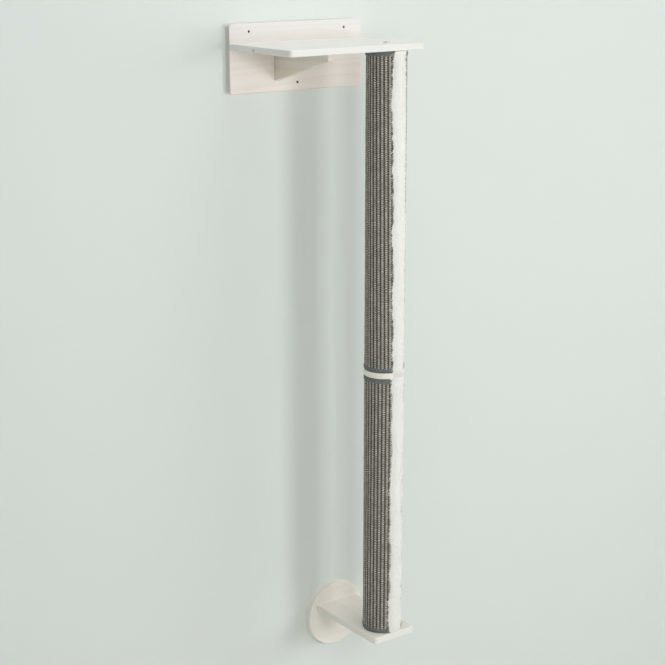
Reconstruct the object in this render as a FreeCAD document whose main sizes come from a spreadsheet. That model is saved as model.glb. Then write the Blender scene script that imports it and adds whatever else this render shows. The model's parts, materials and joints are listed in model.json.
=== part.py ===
"""Wall-mounted cat climbing post: a braced shelf on an upper wall plate carries the head of a
two-piece post, and an arm on a round wall disc carries its foot.

Millimetres and degrees, +Z up. The wall is the plane y = 0 and the object stands out towards -Y.
The origin is the centre of the upper wall plate's back face.
"""

import FreeCAD, Part
import math
import os
import Sketcher

SIZES = {
    # Upper wall plate and its three wall-screw holes; the shelf is as wide as the plate
    "bracket_width": "400",
    "plate_height": "170",
    "plate_thickness": "18",
    "plate_corner": "10",
    "wall_hole": "6",
    "wall_hole_span": "287",
    "wall_hole_inset": "20",
    # Shelf board, measured out from the plate's front
    "shelf_depth": "257",
    "shelf_thickness": "16",
    "shelf_corner": "9",
    "shelf_drop": "46",
    # Tapering brace under the shelf
    "brace_thickness": "18",
    "brace_height": "81",
    "brace_depth": "224",
    "brace_nose": "18",
    "brace_inset": "131",
    # Post: two covered tubes with a ring between them
    "post_inset": "80",
    "post_setback": "50",
    "upper_length": "805",
    "lower_length": "700",
    "tube_diameter": "92",
    "tube_wall": "5",
    "ring_diameter": "104",
    "ring_thickness": "15",
    # Woven mat: a sheet with upright ribs, open where the plush runs
    "mat_thickness": "5",
    "mat_rib_count": "27",
    "mat_groove_width": "3.4",
    "mat_groove_depth": "1.6",
    # Plush strip, and how far each one is turned to the right of straight out
    "plush_width": "49",
    "plush_pile": "7",
    "plush_round": "4",
    "upper_plush_turn": "5",
    "lower_plush_turn": "11",
    # Binding tape round each end of a mat
    "tape_width": "11",
    "tape_thickness": "1",
    # Plugs and flanged nuts in the tubes' ends
    "plug_thickness": "20",
    "nut_barrel": "11",
    "nut_flange": "22",
    "nut_flange_thickness": "1.6",
    "nut_shortfall": "1",
    # Bolts, washers and the joining stud
    "thread": "8",
    "thread_reach": "17",
    "thread_chamfer": "0.8",
    "bolt_head": "15",
    "bolt_head_height": "2.6",
    "bolt_head_round": "2",
    "socket_width": "5",
    "socket_depth": "2.5",
    "washer_diameter": "18",
    "washer_thickness": "1",
    # Arm under the post and the round disc behind it
    "arm_width": "130",
    "arm_thickness": "18",
    "arm_overhang": "55",
    "arm_corner": "9",
    "disc_diameter": "180",
    "disc_thickness": "18",
    "disc_drop": "23",
    "disc_hole_span": "50",
    # Countersunk screws through the plate and the disc
    "screw_shank": "4.5",
    "screw_head": "9",
    "screw_sink": "0.5",
    "screw_reach": "37",
    "screw_tip": "6",
    "recess_span": "5",
    "recess_width": "1.2",
    "recess_depth": "1.8",
    "shelf_screw_inset": "30",
    "brace_screw_inset": "20",
    "arm_screw_inset": "24",
    # Beech dowels, and the wood that is left behind them
    "dowel_diameter": "8",
    "dowel_grip": "15",
    "dowel_chamfer": "1",
    "dowel_cover": "3",
    "shelf_dowel_span": "230",
    "brace_dowel_start": "50",
    "brace_dowel_step": "70",
    "arm_dowel_span": "40",
    # Fits and finish
    "edge_ease": "1.5",
    "slide_fit": "0.1",
    "bolt_fit": "0.5",
    "soft_fit": "0.3",
    "end_gap": "0.5",
    "cut_overrun": "0.5",
}

# Places that follow from the sizes, as expressions on the sheet
SHELF_TOP = "(Sizes.plate_height / 2 - Sizes.shelf_drop)"
SHELF_UNDER = f"({SHELF_TOP} - Sizes.shelf_thickness)"
SHELF_MIDDLE = f"({SHELF_TOP} - Sizes.shelf_thickness / 2)"
BRACE_LEFT = "(Sizes.brace_inset - Sizes.bracket_width / 2)"
BRACE_MIDDLE = f"({BRACE_LEFT} + Sizes.brace_thickness / 2)"
POST_X = "(Sizes.bracket_width / 2 - Sizes.post_inset)"
POST_Y = "(Sizes.post_setback - Sizes.plate_thickness - Sizes.shelf_depth)"
UPPER_FOOT = f"({SHELF_UNDER} - Sizes.upper_length)"
LOWER_HEAD = f"({UPPER_FOOT} - Sizes.ring_thickness)"
LOWER_FOOT = f"({LOWER_HEAD} - Sizes.lower_length)"
ARM_UNDER = f"({LOWER_FOOT} - Sizes.arm_thickness)"
ARM_MIDDLE = f"({LOWER_FOOT} - Sizes.arm_thickness / 2)"
ARM_LENGTH = f"(Sizes.arm_overhang - {POST_Y} - Sizes.disc_thickness)"
DISC_Z = f"({ARM_UNDER} - Sizes.disc_drop)"

# Radii and angles of the post's layers, and radii and depths of the holes
TUBE_RADIUS = "(Sizes.tube_diameter / 2)"
COVER_INNER = f"({TUBE_RADIUS} + Sizes.slide_fit)"
MAT_RADIUS = f"({TUBE_RADIUS} + Sizes.mat_thickness)"
PLUSH_RADIUS = f"({TUBE_RADIUS} + Sizes.plush_pile)"
TAPE_INNER = f"({MAT_RADIUS} + Sizes.slide_fit)"
TAPE_OUTER = f"({TAPE_INNER} + Sizes.tape_thickness)"
PLUSH_HALF = f"(Sizes.plush_width / 2 / {MAT_RADIUS} * 180 / pi)"
MAT_OPENING = f"({PLUSH_HALF} + Sizes.soft_fit / {MAT_RADIUS} * 180 / pi)"
RIB_STEP = f"((360 - 2 * {MAT_OPENING}) / Sizes.mat_rib_count)"
GROOVE_HALF = f"(Sizes.mat_groove_width / 2 / {MAT_RADIUS} * 180 / pi)"
GROOVE_FLOOR = f"({MAT_RADIUS} - Sizes.mat_groove_depth)"
GROOVE_MOUTH = f"({MAT_RADIUS} + Sizes.cut_overrun)"
PLUG_RADIUS = f"({TUBE_RADIUS} - Sizes.tube_wall - Sizes.slide_fit)"
NUT_HOLE = "(Sizes.nut_barrel / 2 + Sizes.slide_fit)"
BOLT_HOLE = "((Sizes.thread + Sizes.bolt_fit) / 2)"
SCREW_HOLE = "(Sizes.screw_shank / 2 + Sizes.slide_fit)"
SCREW_HOLE_DEPTH = "(Sizes.screw_reach + Sizes.end_gap)"
DOWEL_HOLE = "(Sizes.dowel_diameter / 2 + Sizes.slide_fit)"
DOWEL_HOLE_DEPTH = "(Sizes.dowel_grip + Sizes.end_gap)"

# Places of the fasteners along the boards that they hold
SHELF_SCREWS = (
    "(Sizes.shelf_screw_inset - Sizes.bracket_width / 2)",
    "0",
    "(Sizes.bracket_width / 2 - Sizes.shelf_screw_inset)",
)
SHELF_DOWELS = ("-Sizes.shelf_dowel_span / 2", "Sizes.shelf_dowel_span / 2")
BRACE_SCREWS = ("-Sizes.brace_screw_inset", "(Sizes.brace_screw_inset - Sizes.brace_height)")
BRACE_DOWELS = ("-Sizes.brace_dowel_start", "(-Sizes.brace_dowel_start - Sizes.brace_dowel_step)")
ARM_SCREWS = (
    "(Sizes.arm_screw_inset - Sizes.arm_width / 2)",
    "(Sizes.arm_width / 2 - Sizes.arm_screw_inset)",
)
ARM_DOWELS = ("-Sizes.arm_dowel_span / 2", "Sizes.arm_dowel_span / 2")

# Post segments: name, height of the foot, length, and the turn of the plush
SEGMENTS = (
    ("upper", UPPER_FOOT, "Sizes.upper_length", "Sizes.upper_plush_turn"),
    ("lower", LOWER_FOOT, "Sizes.lower_length", "Sizes.lower_plush_turn"),
)

X_AXIS = FreeCAD.Vector(1, 0, 0)
Y_AXIS = FreeCAD.Vector(0, 1, 0)
Z_AXIS = FreeCAD.Vector(0, 0, 1)
STRAIGHT_OUT = -90
HEXAGON_TURNS = range(0, 360, 60)
SAME_PLACE = 1e-4

doc = FreeCAD.newDocument("climbing_post")
sheet = doc.addObject("Spreadsheet::Sheet", "Sizes")
for row, (alias, text) in enumerate(SIZES.items(), start=1):
    sheet.set(f"A{row}", text)
    sheet.setAlias(f"A{row}", alias)
doc.recompute()

sub_parts = []


def value(expression):
    """The number that an expression on the sheet gives now."""
    return float(sheet.evalExpression(expression))


def new_body(label, is_node=True):
    """A body that is a sub-part of its own, or one solid of a group."""
    body = doc.addObject("PartDesign::Body", label)
    body.Label = label
    if is_node:
        sub_parts.append(body)
    return body


def group(label, bodies):
    """One sub-part that holds alike fasteners as separate solids."""
    compound = doc.addObject("Part::Compound", label)
    compound.Label = label
    compound.Links = bodies
    sub_parts.append(compound)


def place(target, x="0", y="0", z="0", turn=None, upside_down=False):
    """Bind an object's place, with a turn about +Z in degrees, or with its own +Z down."""
    rotation = FreeCAD.Rotation(X_AXIS, 180) if upside_down else FreeCAD.Rotation(Z_AXIS, 0)
    target.Placement = FreeCAD.Placement(FreeCAD.Vector(), rotation)
    for axis, expression in zip("xyz", (x, y, z)):
        target.setExpression(f"Placement.Base.{axis}", expression)
    if turn is not None:
        target.Placement.Rotation = FreeCAD.Rotation(Z_AXIS, value(turn))
        target.setExpression("Placement.Rotation.Angle", f"({turn}) * 1 deg")


def new_sketch(body, role, offset="0"):
    """A sketch on one of the body's origin planes, moved along the plane's normal."""
    sketch = body.newObject("Sketcher::SketchObject", f"{body.Label}_sketch")
    plane = next(f for f in body.Origin.OriginFeatures if f.Role == role)
    sketch.AttachmentSupport = [(plane, "")]
    sketch.MapMode = "FlatFace"
    sketch.setExpression("AttachmentOffset.Base.z", offset)
    return sketch


def bind_datum(sketch, constraint, expression):
    """Add a constraint and bind its value."""
    index = sketch.addConstraint(constraint)
    sketch.setExpression(f"Constraints[{index}]", expression)


def fix_point(sketch, geometry, position, x, y):
    """Hold a point of the sketch at two coordinates."""
    for kind, expression in (("DistanceX", x), ("DistanceY", y)):
        datum = Sketcher.Constraint(kind, -1, 1, geometry, position, value(expression))
        bind_datum(sketch, datum, expression)


def outline(sketch, corners):
    """A closed outline of straight sides through corners given as expressions."""
    points = [FreeCAD.Vector(value(x), value(y), 0) for x, y in corners]
    sides = []
    for start, end in zip(points, points[1:] + points[:1]):
        sides.append(sketch.addGeometry(Part.LineSegment(start, end)))
    for side, following in zip(sides, sides[1:] + sides[:1]):
        sketch.addConstraint(Sketcher.Constraint("Coincident", side, 2, following, 1))
    for side, (x, y) in zip(sides, corners):
        fix_point(sketch, side, 1, x, y)


def at_turn(radius, angle):
    """Coordinates of the point at a radius and an angle in degrees."""
    return f"{radius} * cos({angle} * 1 deg)", f"{radius} * sin({angle} * 1 deg)"


def rectangle(sketch, left, right, low, high):
    """A rectangle between four expressions."""
    outline(sketch, [(left, low), (right, low), (right, high), (left, high)])


def circle(sketch, radius, x="0", y="0"):
    """A circle whose radius and centre are expressions."""
    centre = FreeCAD.Vector(value(x), value(y), 0)
    index = sketch.addGeometry(Part.Circle(centre, Z_AXIS, value(radius)))
    fix_point(sketch, index, 3, x, y)
    bind_datum(sketch, Sketcher.Constraint("Radius", index, value(radius)), radius)


def sector(sketch, inner, outer, start, end):
    """A ring sector about the origin, turning left from one angle in degrees to another."""
    turns = [math.radians(value(angle)) for angle in (start, end)]
    arcs = []
    for radius in (inner, outer):
        full = Part.Circle(FreeCAD.Vector(), Z_AXIS, value(radius))
        arc = sketch.addGeometry(Part.ArcOfCircle(full, *turns))
        sketch.addConstraint(Sketcher.Constraint("Coincident", arc, 3, -1, 1))
        bind_datum(sketch, Sketcher.Constraint("Radius", arc, value(radius)), radius)
        arcs.append(arc)
    for position, angle, turn in zip((1, 2), (start, end), turns):
        direction = FreeCAD.Vector(math.cos(turn), math.sin(turn), 0)
        side = sketch.addGeometry(Part.LineSegment(direction * value(inner), direction * value(outer)))
        for end_position, arc in zip((1, 2), arcs):
            sketch.addConstraint(Sketcher.Constraint("Coincident", side, end_position, arc, position))
        sketch.addConstraint(Sketcher.Constraint("PointOnObject", -1, 1, side))
        bind_datum(sketch, Sketcher.Constraint("Angle", side, turn), f"{angle} * 1 deg")


def pad(body, sketch, length):
    """Extrude a sketch along its plane's normal."""
    feature = body.newObject("PartDesign::Pad", f"{body.Label}_pad")
    feature.Profile = sketch
    feature.setExpression("Length", length)
    doc.recompute()
    return feature


def pocket(body, sketch, depth=None, along_normal=False):
    """Cut a sketch into the body by a depth, or right through it."""
    before = body.Shape.Volume
    feature = body.newObject("PartDesign::Pocket", f"{body.Label}_pocket")
    feature.Profile = sketch
    feature.Reversed = along_normal
    if depth is None:
        feature.Type = "ThroughAll"
    else:
        feature.setExpression("Length", depth)
    doc.recompute()
    if not body.Shape.Volume < before:
        raise RuntimeError(f"{feature.Label} cuts nothing")
    return feature


def drill(body, role, spots, radius, depth=None, along_normal=False, offset="0"):
    """Round holes at spots on one of the body's planes."""
    sketch = new_sketch(body, role, offset)
    for x, y in spots:
        circle(sketch, radius, x, y)
    return pocket(body, sketch, depth, along_normal)


def turned(body, role, profile):
    """Turn a half profile, given as radius and height, about the sketch's upright axis."""
    sketch = new_sketch(body, role)
    outline(sketch, profile)
    feature = body.newObject("PartDesign::Revolution", f"{body.Label}_turned")
    feature.Profile = sketch
    feature.ReferenceAxis = (sketch, ["V_Axis"])
    doc.recompute()
    return feature


def lies_at(edge, axis, height):
    """Whether an edge lies wholly at one height along an axis."""
    return all(abs(point.dot(axis) - height) < SAME_PLACE for point in edge.discretize(4))


def runs_along(edge, axis):
    """Whether an edge is straight and runs along an axis."""
    if not isinstance(edge.Curve, Part.Line):
        return False
    return edge.Curve.Direction.cross(axis).Length < SAME_PLACE


def is_round(edge, radius):
    """Whether an edge is a circle of a radius."""
    return isinstance(edge.Curve, Part.Circle) and abs(edge.Curve.Radius - radius) < SAME_PLACE


def work_edges(body, kind, size_name, size, test):
    """Fillet or chamfer the edges of the body's last feature that pass a test."""
    base = body.Tip
    chosen = [f"Edge{n}" for n, edge in enumerate(base.Shape.Edges, start=1) if test(edge)]
    feature = body.newObject(f"PartDesign::{kind}", f"{body.Label}_{kind.lower()}")
    feature.Base = (base, chosen)
    feature.setExpression(size_name, size)
    doc.recompute()


def round_edges(body, radius, test):
    """Round the edges of the body's last feature that pass a test."""
    work_edges(body, "Fillet", "Radius", radius, test)


def ease_edges(body, test):
    """Take the sharpness off the edges of the body's last feature that pass a test."""
    work_edges(body, "Chamfer", "Size", "Sizes.edge_ease", test)


def countersink_back(body):
    """Countersink the screw holes where they open on the wall side."""
    hole = value(SCREW_HOLE)
    size = "(Sizes.screw_head - Sizes.screw_shank) / 2 + Sizes.screw_sink"
    work_edges(body, "Chamfer", "Size", size, lambda e: is_round(e, hole) and lies_at(e, Y_AXIS, 0))


def board(label, width, depth, thickness, corner):
    """A flat board with its rear edge on y = 0, rounded front corners and eased edges."""
    body = new_body(label)
    sketch = new_sketch(body, "XY_Plane")
    rectangle(sketch, f"-{width} / 2", f"{width} / 2", f"-{depth}", "0")
    pad(body, sketch, thickness)
    front = -value(depth)
    round_edges(body, corner, lambda e: runs_along(e, Z_AXIS) and lies_at(e, Y_AXIS, front))
    faces = (0, value(thickness))

    def shows(edge):
        on_a_face = any(lies_at(edge, Z_AXIS, height) for height in faces)
        return on_a_face and not lies_at(edge, Y_AXIS, 0)

    ease_edges(body, shows)
    return body


def upper_wall_plate():
    """Board on the wall, with wall-screw holes, countersunk screw holes and dowel holes."""
    body = new_body("upper_wall_plate")
    sketch = new_sketch(body, "XZ_Plane")
    half_width, half_height = "Sizes.bracket_width / 2", "Sizes.plate_height / 2"
    rectangle(sketch, f"-{half_width}", half_width, f"-{half_height}", half_height)
    pad(body, sketch, "Sizes.plate_thickness")
    round_edges(body, "Sizes.plate_corner", lambda e: runs_along(e, Y_AXIS))
    front = -value("Sizes.plate_thickness")
    ease_edges(body, lambda e: lies_at(e, Y_AXIS, front))
    high = "(Sizes.plate_height / 2 - Sizes.wall_hole_inset)"
    aside = "Sizes.wall_hole_span / 2"
    wall_holes = [(f"-{aside}", high), (aside, high), ("0", f"-{high}")]
    drill(body, "XZ_Plane", wall_holes, "Sizes.wall_hole / 2", along_normal=True)
    screws = [(x, SHELF_MIDDLE) for x in SHELF_SCREWS]
    screws += [(BRACE_MIDDLE, f"{SHELF_UNDER} + {z}") for z in BRACE_SCREWS]
    drill(body, "XZ_Plane", screws, SCREW_HOLE, along_normal=True)
    countersink_back(body)
    dowels = [(x, SHELF_MIDDLE) for x in SHELF_DOWELS]
    depth = "Sizes.plate_thickness - Sizes.dowel_cover"
    drill(body, "XZ_Plane", dowels, DOWEL_HOLE, depth, offset="Sizes.plate_thickness")


def top_shelf():
    """Shelf board with the post's bolt hole and the holes of its screws and dowels."""
    body = board("top_shelf", "Sizes.bracket_width", "Sizes.shelf_depth", "Sizes.shelf_thickness",
                 "Sizes.shelf_corner")
    bolt = (POST_X, f"{POST_Y} + Sizes.plate_thickness")
    drill(body, "XY_Plane", [bolt], BOLT_HOLE, along_normal=True)
    middle = "Sizes.shelf_thickness / 2"
    drill(body, "XZ_Plane", [(x, middle) for x in SHELF_SCREWS], SCREW_HOLE, SCREW_HOLE_DEPTH, True)
    drill(body, "XZ_Plane", [(x, middle) for x in SHELF_DOWELS], DOWEL_HOLE, DOWEL_HOLE_DEPTH, True)
    depth = "Sizes.shelf_thickness - Sizes.dowel_cover"
    drill(body, "XY_Plane", [(BRACE_MIDDLE, y) for y in BRACE_DOWELS], DOWEL_HOLE, depth, True)
    place(body, y="-Sizes.plate_thickness", z=SHELF_UNDER)


def shelf_brace():
    """Brace that tapers from the plate to a blunt nose, flush under the shelf."""
    body = new_body("shelf_brace")
    sketch = new_sketch(body, "YZ_Plane")
    reach, nose, foot = "-Sizes.brace_depth", "-Sizes.brace_nose", "-Sizes.brace_height"
    outline(sketch, [("0", "0"), (reach, "0"), (reach, nose), ("0", foot)])
    pad(body, sketch, "Sizes.brace_thickness")

    def shows(edge):
        meets_a_board = lies_at(edge, Z_AXIS, 0) or lies_at(edge, Y_AXIS, 0)
        return not meets_a_board and not runs_along(edge, X_AXIS)

    ease_edges(body, shows)
    middle = "Sizes.brace_thickness / 2"
    drill(body, "XZ_Plane", [(middle, z) for z in BRACE_SCREWS], SCREW_HOLE, SCREW_HOLE_DEPTH, True)
    drill(body, "XY_Plane", [(middle, y) for y in BRACE_DOWELS], DOWEL_HOLE, DOWEL_HOLE_DEPTH)
    place(body, x=BRACE_LEFT, y="-Sizes.plate_thickness", z=SHELF_UNDER)


def lower_arm():
    """Arm board that the post stands on, with its bolt hole and fastener holes."""
    body = board("lower_arm", "Sizes.arm_width", ARM_LENGTH, "Sizes.arm_thickness", "Sizes.arm_corner")
    drill(body, "XY_Plane", [("0", f"{POST_Y} + Sizes.disc_thickness")], BOLT_HOLE, along_normal=True)
    middle = "Sizes.arm_thickness / 2"
    drill(body, "XZ_Plane", [(x, middle) for x in ARM_SCREWS], SCREW_HOLE, SCREW_HOLE_DEPTH, True)
    drill(body, "XZ_Plane", [(x, middle) for x in ARM_DOWELS], DOWEL_HOLE, DOWEL_HOLE_DEPTH, True)
    place(body, x=POST_X, y="-Sizes.disc_thickness", z=ARM_UNDER)


def lower_wall_disc():
    """Round board on the wall, with two wall-screw holes below the arm."""
    body = new_body("lower_wall_disc")
    sketch = new_sketch(body, "XZ_Plane")
    circle(sketch, "Sizes.disc_diameter / 2")
    pad(body, sketch, "Sizes.disc_thickness")
    front = -value("Sizes.disc_thickness")
    ease_edges(body, lambda e: lies_at(e, Y_AXIS, front))
    wall_holes = [("-Sizes.disc_hole_span / 2", "0"), ("Sizes.disc_hole_span / 2", "0")]
    drill(body, "XZ_Plane", wall_holes, "Sizes.wall_hole / 2", along_normal=True)
    arm_line = f"{ARM_MIDDLE} - {DISC_Z}"
    drill(body, "XZ_Plane", [(x, arm_line) for x in ARM_SCREWS], SCREW_HOLE, along_normal=True)
    countersink_back(body)
    depth = "Sizes.disc_thickness - Sizes.dowel_cover"
    dowels = [(x, arm_line) for x in ARM_DOWELS]
    drill(body, "XZ_Plane", dowels, DOWEL_HOLE, depth, offset="Sizes.disc_thickness")
    place(body, x=POST_X, z=DISC_Z)


def screw(thickness):
    """Countersunk screw with a cross recess, driven towards -Y through a board on the wall."""
    body = new_body("screw", is_node=False)
    head, shank = "Sizes.screw_head / 2", "Sizes.screw_shank / 2"
    neck = f"-Sizes.screw_sink - ({head} - {shank})"
    point = f"-({thickness} + Sizes.screw_reach)"
    turned(body, "XY_Plane", [
        ("0", "-Sizes.screw_sink"),
        (head, "-Sizes.screw_sink"),
        (shank, neck),
        (shank, f"{point} + Sizes.screw_tip"),
        ("0", point),
    ])
    arm, bar = "Sizes.recess_span / 2", "Sizes.recess_width / 2"
    cross = [(arm, bar), (bar, bar), (bar, arm), (f"-{bar}", arm), (f"-{bar}", bar), (f"-{arm}", bar)]
    cross += [(f"-({x})", f"-({y})") for x, y in cross]
    sketch = new_sketch(body, "XZ_Plane", "Sizes.screw_sink")
    outline(sketch, cross)
    pocket(body, sketch, "Sizes.recess_depth", along_normal=True)
    return body


def dowel(role, low, high):
    """Dowel with chamfered ends between two heights on the sketch's upright axis."""
    body = new_body("dowel", is_node=False)
    radius, chamfer = "Sizes.dowel_diameter / 2", "Sizes.dowel_chamfer"
    tip = f"{radius} - {chamfer}"
    turned(body, role, [
        ("0", low),
        (tip, low),
        (radius, f"{low} + {chamfer}"),
        (radius, f"{high} - {chamfer}"),
        (tip, high),
        ("0", high),
    ])
    return body


def wall_side_dowel(thickness):
    """Dowel along Y between a board on the wall and the board in front of it."""
    far_end = f"-({thickness} + Sizes.dowel_grip)"
    return dowel("XY_Plane", far_end, "-(Sizes.dowel_cover + Sizes.end_gap)")


def bracket_fasteners():
    """Screws and dowels that hold the shelf, the brace and the arm."""
    plate, disc = "Sizes.plate_thickness", "Sizes.disc_thickness"
    rows = (
        ("shelf_screws", screw, plate, [(x, SHELF_MIDDLE) for x in SHELF_SCREWS]),
        ("brace_screws", screw, plate, [(BRACE_MIDDLE, f"{SHELF_UNDER} + {z}") for z in BRACE_SCREWS]),
        ("arm_screws", screw, disc, [(f"{POST_X} + {x}", ARM_MIDDLE) for x in ARM_SCREWS]),
        ("shelf_dowels", wall_side_dowel, plate, [(x, SHELF_MIDDLE) for x in SHELF_DOWELS]),
        ("arm_dowels", wall_side_dowel, disc, [(f"{POST_X} + {x}", ARM_MIDDLE) for x in ARM_DOWELS]),
    )
    for label, maker, thickness, spots in rows:
        bodies = []
        for x, z in spots:
            body = maker(thickness)
            place(body, x=x, z=z)
            bodies.append(body)
        group(label, bodies)
    bodies = []
    top = "Sizes.shelf_thickness - Sizes.dowel_cover - Sizes.end_gap"
    for y in BRACE_DOWELS:
        body = dowel("XZ_Plane", "-Sizes.dowel_grip", top)
        place(body, x=BRACE_MIDDLE, y=f"{y} - Sizes.plate_thickness", z=SHELF_UNDER)
        bodies.append(body)
    group("brace_dowels", bodies)


def round_ring(label, outer, inner, thickness):
    """A flat ring that stands on its own z = 0."""
    body = new_body(label)
    sketch = new_sketch(body, "XY_Plane")
    circle(sketch, outer)
    circle(sketch, inner)
    pad(body, sketch, thickness)
    return body


def flanged_nut():
    """Nut with its flange under z = 0 and its barrel up through a plug."""
    nut = new_body("nut", is_node=False)
    bore, barrel = "Sizes.thread / 2 + Sizes.slide_fit", "Sizes.nut_barrel / 2"
    flange, base = "Sizes.nut_flange / 2", "-Sizes.nut_flange_thickness"
    top = "Sizes.plug_thickness - Sizes.nut_shortfall"
    turned(nut, "XZ_Plane", [
        (bore, base),
        (flange, base),
        (flange, "0"),
        (barrel, "0"),
        (barrel, top),
        (bore, top),
    ])
    return nut


def post_cores():
    """Tube of each post segment, with a plug and a flanged nut in each end."""
    nuts = []
    for segment, foot, length, _ in SEGMENTS:
        tube = round_ring(f"{segment}_tube", TUBE_RADIUS, f"{TUBE_RADIUS} - Sizes.tube_wall", length)
        place(tube, POST_X, POST_Y, foot)
        head_plug = f"({foot} + {length} - Sizes.plug_thickness)"
        foot_nut = f"({foot} + Sizes.plug_thickness)"
        for end, plug_z, nut_z in (("head", head_plug, head_plug), ("foot", foot, foot_nut)):
            plug = round_ring(f"{segment}_{end}_plug", PLUG_RADIUS, NUT_HOLE, "Sizes.plug_thickness")
            place(plug, POST_X, POST_Y, plug_z)
            nut = flanged_nut()
            place(nut, POST_X, POST_Y, nut_z, upside_down=end == "foot")
            nuts.append(nut)
    group("plug_nuts", nuts)


def post_cover(segment, foot, length, turn):
    """Ribbed mat, plush strip and binding tapes of one post segment."""
    facing = f"{STRAIGHT_OUT} + {turn}"
    far_side = f"(360 - {MAT_OPENING})"
    mat = new_body(f"{segment}_mat")
    sketch = new_sketch(mat, "XY_Plane")
    sector(sketch, COVER_INNER, MAT_RADIUS, MAT_OPENING, far_side)
    pad(mat, sketch, length)
    first = f"({MAT_OPENING} + {RIB_STEP})"
    groove_sketch = new_sketch(mat, "XY_Plane")
    outline(groove_sketch, [
        at_turn(GROOVE_FLOOR, first),
        at_turn(GROOVE_MOUTH, f"({first} - {GROOVE_HALF})"),
        at_turn(GROOVE_MOUTH, f"({first} + {GROOVE_HALF})"),
    ])
    groove = pocket(mat, groove_sketch, along_normal=True)
    ribs = mat.newObject("PartDesign::PolarPattern", f"{segment}_mat_ribs")
    ribs.Originals = [groove]
    ribs.Axis = (sketch, ["N_Axis"])
    ribs.setExpression("Occurrences", "Sizes.mat_rib_count - 1")
    ribs.setExpression("Angle", f"{RIB_STEP} * (Sizes.mat_rib_count - 2)")
    mat.Tip = ribs
    doc.recompute()
    place(mat, POST_X, POST_Y, foot, facing)

    plush = new_body(f"{segment}_plush_strip")
    sketch = new_sketch(plush, "XY_Plane")
    sector(sketch, COVER_INNER, PLUSH_RADIUS, f"-{PLUSH_HALF}", PLUSH_HALF)
    pad(plush, sketch, length)
    crown = value(PLUSH_RADIUS)

    def is_crown_side(edge):
        on_crown = abs(edge.Vertexes[0].Point.cross(Z_AXIS).Length - crown) < SAME_PLACE
        return on_crown and runs_along(edge, Z_AXIS)

    round_edges(plush, "Sizes.plush_round", is_crown_side)
    place(plush, POST_X, POST_Y, foot, facing)

    for end, z in (("head", f"{foot} + {length} - Sizes.tape_width"), ("foot", foot)):
        tape = new_body(f"{segment}_{end}_tape")
        sketch = new_sketch(tape, "XY_Plane")
        sector(sketch, TAPE_INNER, TAPE_OUTER, MAT_OPENING, far_side)
        pad(tape, sketch, "Sizes.tape_width")
        place(tape, POST_X, POST_Y, z, facing)


def middle_ring():
    """Wooden ring between the two segments, and the stud that joins them through it."""
    ring = round_ring("middle_ring", "Sizes.ring_diameter / 2", BOLT_HOLE, "Sizes.ring_thickness")
    rim = value("Sizes.ring_diameter / 2")
    ease_edges(ring, lambda e: is_round(e, rim))
    place(ring, POST_X, POST_Y, LOWER_HEAD)
    stud = new_body("joining_stud")
    radius, chamfer = "Sizes.thread / 2", "Sizes.thread_chamfer"
    tip = f"{radius} - {chamfer}"
    end = "Sizes.ring_thickness + Sizes.thread_reach"
    turned(stud, "XZ_Plane", [
        ("0", "-Sizes.thread_reach"),
        (tip, "-Sizes.thread_reach"),
        (radius, f"{chamfer} - Sizes.thread_reach"),
        (radius, f"{end} - {chamfer}"),
        (tip, end),
        ("0", end),
    ])
    place(stud, POST_X, POST_Y, LOWER_HEAD)


def end_bolt(end, thickness, seat, upside_down):
    """Domed socket bolt and washer that clamp one end of the post to its board."""
    rim, under = "Sizes.washer_diameter / 2", "Sizes.washer_thickness"
    washer = round_ring(f"{end}_washer", rim, BOLT_HOLE, under)
    place(washer, POST_X, POST_Y, seat, upside_down=upside_down)
    bolt = new_body(f"{end}_bolt")
    head, shank, chamfer = "Sizes.bolt_head / 2", "Sizes.thread / 2", "Sizes.thread_chamfer"
    over = f"{under} + Sizes.bolt_head_height"
    tip = f"-({thickness} + Sizes.thread_reach)"
    turned(bolt, "XZ_Plane", [
        ("0", over),
        (head, over),
        (head, under),
        (shank, under),
        (shank, f"{tip} + {chamfer}"),
        (f"{shank} - {chamfer}", tip),
        ("0", tip),
    ])
    top = value(over)
    round_edges(bolt, "Sizes.bolt_head_round", lambda e: lies_at(e, Z_AXIS, top))
    sketch = new_sketch(bolt, "XY_Plane", over)
    outline(sketch, [at_turn("Sizes.socket_width / sqrt(3)", turn) for turn in HEXAGON_TURNS])
    pocket(bolt, sketch, "Sizes.socket_depth")
    place(bolt, POST_X, POST_Y, seat, upside_down=upside_down)


upper_wall_plate()
top_shelf()
shelf_brace()
lower_arm()
lower_wall_disc()
bracket_fasteners()
middle_ring()
end_bolt("top", "Sizes.shelf_thickness", SHELF_TOP, upside_down=False)
end_bolt("foot", "Sizes.arm_thickness", ARM_UNDER, upside_down=True)
post_cores()
for segment_row in SEGMENTS:
    post_cover(*segment_row)

doc.recompute()
for item in doc.Objects:
    if {"Invalid", "Error"} & set(item.State):
        raise RuntimeError(f"{item.Label} did not recompute: {item.State}")
for part in sub_parts:
    if part.Shape.isNull() or not part.Shape.isValid() or not part.Shape.Solids:
        raise RuntimeError(f"{part.Label} has no valid solid")
os.makedirs("parts", exist_ok=True)
for part in sub_parts:
    part.Shape.exportStep(f"parts/{part.Label}.step")
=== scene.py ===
"""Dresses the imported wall-mounted climbing post for cats, and sets its camera, light and stage."""

import json
import logging
import math
from dataclasses import dataclass, field
from enum import Enum
from typing import Any, Sequence, Union

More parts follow.
